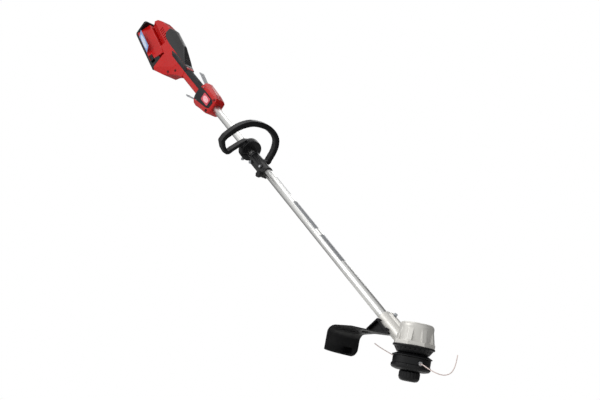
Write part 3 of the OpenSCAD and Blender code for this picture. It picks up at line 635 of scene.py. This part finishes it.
@dataclass
class RearHousing:
    """Red clamshells of the rear housing and hub, the gloss cover, the grip and their screws."""

    shells: Sequence[Softened] = (
        Softened("housing_right", 0.9, 8, 0.15), Softened("housing_left", 0.9, 8, 0.15),
        Softened("handle_right", 0.8, 7, 0.15), Softened("handle_left", 0.8, 7, 0.15),
        Softened("top_cover", 0.9, 7, 0.2), Softened("rubber_grip", 0.8, 5, 0.2),
        Softened("hub_panels", 0.6, 3, 0.25))
    screws: Sequence[tuple[float, float]] = ((1183, 21.5), (1187, -22), (1464, -20), (1490, -42))
    boss_mm: float = 5.2
    sunk_mm: float = 0.3
    ray_start_mm: float = 120.0
    trim_from: float = 1432.0
    trim_low: float = 9.0
    trim_rise: float = 0.06

    def build(self) -> None:
        """Build the shells, then a sunk screw on each side at every boss."""
        made = {shell.node: shell.build() for shell in self.shells}
        self.polish(made["rubber_grip"])
        for number, (along, normal) in enumerate(self.screws):
            for side, hand in ((-1, "right"), (1, "left")):
                self.screw(number, along, normal, side, hand, made)

    def polish(self, grip: bpy.types.Object) -> None:
        """Give the inlay's faces above its trim line the polished black of the cover.

        Args:
            grip: The shell of the grip and inlay.
        """
        grip.data.materials.append(FINISHES["black_gloss"].material())
        for face in grip.data.polygons:
            offset = face.center - on_shaft(self.trim_from)
            along, normal = offset.dot(SHAFT_UP) / MM, offset.dot(SHAFT_NORMAL) / MM
            if along > 0 and normal > self.trim_low + self.trim_rise * along:
                face.material_index = 1

    def screw(self, number: int, along: float, normal: float, side: int, hand: str,
              made: dict[str, bpy.types.Object]) -> None:
        """Seat a flanged screw head on the shell's outer face.

        Args:
            number: The screw's number, counted from the front.
            along: Millimetres up the shaft.
            normal: Millimetres square to the shaft.
            side: 1 on the operator's left, -1 on the right.
            hand: The side's name.
            made: The shells by node; a ray from outside finds the one that is met.
        """
        start = on_shaft(along, normal, side * self.ray_start_mm)
        for node in ("housing_" + hand, "handle_" + hand):
            hit, spot, normal_there, _ = made[node].ray_cast(start, Vector((0, -side, 0)))
            if hit:
                profile = [(0, 0.1), (1.1, 0.1), (1.2, 0.9), (2.9, 1.1), (3.3, 0.7),
                           (3.4, 0.1), (4.3, 0.1), (4.5, 0.55),
                           (self.boss_mm, 0.5), (self.boss_mm + 0.4, -0.5), (0, -0.5)]
                name = f"boss_screw_{number}_{hand}"
                seat = facing(spot - normal_there * self.sunk_mm * MM, normal_there)
                piece = lathe(name, profile, 28, seat)
                settle(piece, "handle_frame", "steel", finish="black_oxide")
                return


@dataclass
class BatteryPack:
    """The battery: red shell, black base and rear plate, side labels and latches."""

    shells: Sequence[Softened] = (
        Softened("battery_base", 1.2, 4, 0.35), Softened("battery_shell", 1.2, 5, 0.35),
        Softened("latch_right", 0.5, 3, 0.4), Softened("latch_left", 0.5, 3, 0.4))

    def build(self) -> None:
        """Build the pack's moulded shells."""
        for shell in self.shells:
            shell.build()


@dataclass
class FrontEnd:
    """Coupler, its knob, and the loop handle with its clamp cap."""

    shells: Sequence[Softened] = (
        Softened("front_handle", 1.3, 9, 0.35), Softened("handle_cap", 0.9, 4, 0.4),
        Softened("coupler", 0.8, 4, 0.35))

    def build(self) -> None:
        """Build the clamps and the loop."""
        for shell in self.shells:
            shell.build()


@dataclass
class MotorHead:
    """The silver casting, its black base, the guard and line head, and the two levers."""

    shells: Sequence[Softened] = (
        Softened("motor_housing", 1.0, 4, 0.35), Softened("motor_base", 0.9, 3, 0.4),
        Softened("guard", 1.1, 3, 0.4), Softened("dust_flange", 0.9, 3, 0.35),
        Softened("spool_housing", 0.9, 3, 0.35), Softened("spool_cap", 0.9, 4, 0.4),
        Softened("bump_knob", 0.7, 3, 0.4), Softened("trigger", 0.7, 4, 0.4),
        Softened("lockout_lever", 0.7, 4, 0.4))

    def build(self) -> None:
        """Build the castings and mouldings of the head."""
        for shell in self.shells:
            shell.build()


@dataclass
class PlainParts:
    """CAD solids whose shape is already right: they get their finish and broken edges."""

    edge_mm: float = 0.35
    edge_angle: float = 50.0
    turned: Sequence[str] = (
        "upper_tube", "lower_tube", "coupler_screws", "handle_bolts", "guard_screws", "neck_screw",
        "release_button", "eyelets", "guard_strap", "line_cutter", "clamp_knob")

    blackened: Sequence[str] = ("guard_screws", "line_cutter")

    def build(self) -> None:
        """Dress every CAD node, and break the sharp edges of the turned ones."""
        for name, node in frame["nodes"].items():
            finish = FINISHES["black_oxide" if name in self.blackened else SLOT_OF[name]].material()
            if not node.material_slots:
                node.data.materials.append(finish)
            for holder in node.material_slots:
                holder.material = finish
            if name in self.turned:
                weld = node.modifiers.new("weld", "WELD")
                weld.merge_threshold = WELD_MM * MM
                edge = node.modifiers.new("edge", "BEVEL")
                edge.width = self.edge_mm * MM
                edge.segments = 2
                edge.limit_method = "ANGLE"
                edge.angle_limit = math.radians(self.edge_angle)


# ---- Studio ----------------------------------------------------------------------------------


class Lamp(Enum):
    """Each softbox: where it hangs in camera terms (right, up, back), its width and its power."""

    KEY = ((-1.6, 1.3, 1.0), 1.5, 22.0)
    FILL = ((1.2, 0.4, 1.6), 1.4, 1.5)
    TOP = ((-0.3, 2.2, -0.8), 1.8, 12.0)
    BACK = ((0.8, 1.0, -2.2), 1.8, 16.0)


@dataclass
class Studio:
    """Camera, softboxes, surrounding light and the pale floor."""

    stand: Point = (1.5370, -1.8026, -0.0618)
    right: Point = (0.67825174, 0.71109425, 0.18525533)
    up: Point = (0.00827953, -0.25948572, 0.96571145)
    back: Point = (0.73478298, -0.65346165, -0.18188417)
    lens_mm: float = 60.0
    sensor_mm: float = 36.0
    floor_height: float = -0.34
    floor_half: float = 1.4
    floor_middle: float = -0.7

    def camera(self) -> None:
        """Set the camera up at its stand."""
        lens = bpy.data.cameras.new("camera")
        lens.lens = self.lens_mm
        lens.sensor_width = self.sensor_mm
        lens.clip_start = 0.05
        lens.clip_end = 50.0
        item = link(bpy.data.objects.new("camera", lens))
        turn = Matrix((self.right, self.up, self.back)).transposed().to_4x4()
        item.matrix_world = Matrix.Translation(Vector(self.stand)) @ turn
        bpy.context.scene.camera = item

    def lamps(self) -> None:
        """Hang the softboxes round the middle of the tool."""
        low, high = CAD_BOX
        middle = (Vector(low) + Vector(high)) / 2
        axes = Matrix((self.right, self.up, self.back)).transposed()
        for lamp in Lamp:
            offset, width, power = lamp.value
            light = bpy.data.lights.new("softbox_" + lamp.name.lower(), "AREA")
            light.shape = "DISK"
            light.size = width
            light.energy = power
            item = link(bpy.data.objects.new(light.name, light))
            spot = middle + axes @ Vector(offset)
            item.matrix_world = facing(spot, spot - middle)

    def surroundings(self) -> None:
        """White to the eye, and a soft bright-to-dim studio in what reflects and lights."""
        world = bpy.data.worlds.new("studio")
        world.use_nodes = True
        bpy.context.scene.world = world
        tree = world.node_tree
        tree.nodes.clear()
        bright_way = (Vector(self.back) * 0.62 - Vector(self.right) * 0.62
                      + Vector(self.up) * 0.48).normalized()
        spot = add_node(tree, "ShaderNodeTexCoord")
        dot = add_node(tree, "ShaderNodeVectorMath", {"operation": "DOT_PRODUCT", 1: bright_way},
                       {0: (spot, "Generated")})
        level = add_node(tree, "ShaderNodeMapRange", {
            "interpolation_type": "SMOOTHSTEP", "From Min": -0.45, "From Max": 0.8, "To Min": 0.17,
            "To Max": 0.82}, {"Value": (dot, "Value")})
        white = linear("#FFFFFF")
        lit = add_node(tree, "ShaderNodeBackground", {"Color": white},
                       {"Strength": (level, "Result")})
        seen = add_node(tree, "ShaderNodeBackground", {"Color": white, "Strength": 1.0})
        path = add_node(tree, "ShaderNodeLightPath")
        mix = add_node(tree, "ShaderNodeMixShader", links={
            0: (path, "Is Camera Ray"), 1: (lit, "Background"), 2: (seen, "Background")})
        add_node(tree, "ShaderNodeOutputWorld", links={"Surface": (mix, "Shader")})

    def floor(self) -> None:
        """A pale matt floor below the tool."""
        work = bmesh.new()
        corners = [work.verts.new((
            x * self.floor_half + self.floor_middle, y * self.floor_half, self.floor_height))
                   for x, y in ((-1, -1), (1, -1), (1, 1), (-1, 1))]
        work.faces.new(corners)
        mesh = bpy.data.meshes.new("floor")
        work.to_mesh(mesh)
        work.free()
        item = link(bpy.data.objects.new("floor", mesh))
        # Rolled paper: even white with no shine
        paper = Finish("paper_white_matt_rolled", "#F1F1EF", "#ECECEA", 0.85, drift_mm=300.0,
                       relief_mm=2.0)
        item.data.materials.append(paper.material())

    def build(self) -> None:
        """Set up everything that isn't the tool."""
        self.lamps()
        self.surroundings()
        self.floor()
        settings = bpy.context.scene.view_settings
        settings.view_transform = "Standard"
        settings.look = "None"


def main() -> None:
    """Build the studio, then each sub-assembly in turn."""
    logging.basicConfig(level=logging.INFO, format="%(name)s %(message)s")
    studio = Studio()
    studio.camera()
    CuttingLines().build()
    studio.build()
    for assembly in (PlainParts(), RearHousing(), BatteryPack(), FrontEnd(), MotorHead()):
        LOG.info("building %s", type(assembly).__name__)
        assembly.build()
    bpy.context.view_layer.update()


if __name__ == "__main__":
    main()
